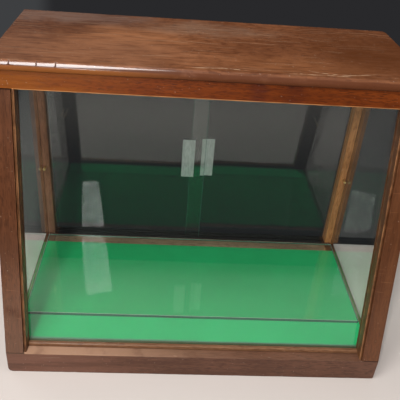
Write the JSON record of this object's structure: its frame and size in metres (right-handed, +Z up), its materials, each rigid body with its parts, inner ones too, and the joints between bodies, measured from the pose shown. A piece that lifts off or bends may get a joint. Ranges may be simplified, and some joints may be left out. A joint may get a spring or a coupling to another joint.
{
  "type": "countertop display cabinet",
  "caption": "Small wooden shop counter cabinet with a leaning glass front, glass sides, sliding glass back doors, a loose glass shelf and a green floor.",
  "frame": {"origin": "middle of the underside of the base frame", "axes": "+X to the viewer's right along the front, +Y from the leaning glass front to the sliding doors at the back, +Z up"},
  "size_m": [0.63, 0.351, 0.5],
  "materials": {
    "top_wood": "old varnish, rubbed and scratched",
    "rail_wood": "orange-brown varnish, worn edges",
    "post_wood": "reddish-brown varnish, worn edges",
    "track_wood": "dark varnish, worn bright on its front edge",
    "base_ply": "bare plywood",
    "green_lining": "matt green baize glued to a thin board",
    "pane_glass": "clear sheet glass",
    "door_glass": "clear plate glass with a ground finger grip",
    "shelf_glass": "clear plate glass with green polished edges",
    "brass": "dull brass",
    "steel": "plain steel"
  },
  "bodies": {
    "cabinet": {"top_board": "top_wood", "front_top_rail": "rail_wood", "front_bottom_rail": "rail_wood", "back_top_rail": "post_wood", "back_bottom_rail": "post_wood", "left_top_rail": "post_wood", "right_top_rail": "post_wood", "left_bottom_rail": "post_wood", "right_bottom_rail": "post_wood", "front_left_post": "post_wood", "front_right_post": "post_wood", "back_left_post": "post_wood", "back_right_post": "post_wood", "base_board": "base_ply", "front_floor_cleat": "base_ply", "back_floor_cleat": "base_ply", "left_floor_cleat": "base_ply", "right_floor_cleat": "base_ply", "floor_lining": "green_lining", "front_glass": "pane_glass", "left_glass": "pane_glass", "right_glass": "pane_glass", "front_bead_bottom": "post_wood", "front_bead_top": "post_wood", "front_bead_left": "post_wood", "front_bead_right": "post_wood", "left_bead_bottom": "post_wood", "left_bead_top": "post_wood", "left_bead_front": "post_wood", "left_bead_back": "post_wood", "right_bead_bottom": "post_wood", "right_bead_top": "post_wood", "right_bead_front": "post_wood", "right_bead_back": "post_wood", "lower_door_track": "track_wood", "upper_door_track": "track_wood", "shelf_peg_front_left": "brass", "shelf_peg_front_right": "brass", "shelf_peg_back_left": "brass", "shelf_peg_back_right": "brass", "top_board_screw_1": "steel", "top_board_screw_2": "steel", "top_board_screw_3": "steel", "top_board_screw_4": "steel", "top_board_screw_5": "steel", "top_board_screw_6": "steel"},
    "left_door": {"left_door": "door_glass"},
    "right_door": {"right_door": "door_glass"},
    "glass_shelf": {"glass_shelf": "shelf_glass"}
  },
  "joints": [
    {"name": "left_door_slide", "type": "slide", "parent": "cabinet", "child": "left_door", "axis": [1, 0, 0], "range_m": [0, 0.272]},
    {"name": "right_door_slide", "type": "slide", "parent": "cabinet", "child": "right_door", "axis": [-1, 0, 0], "range_m": [0, 0.272]},
    {"name": "shelf_lift", "type": "slide", "parent": "cabinet", "child": "glass_shelf", "axis": [0, 0, 1], "range_m": [0, 0.15]}
  ]
}
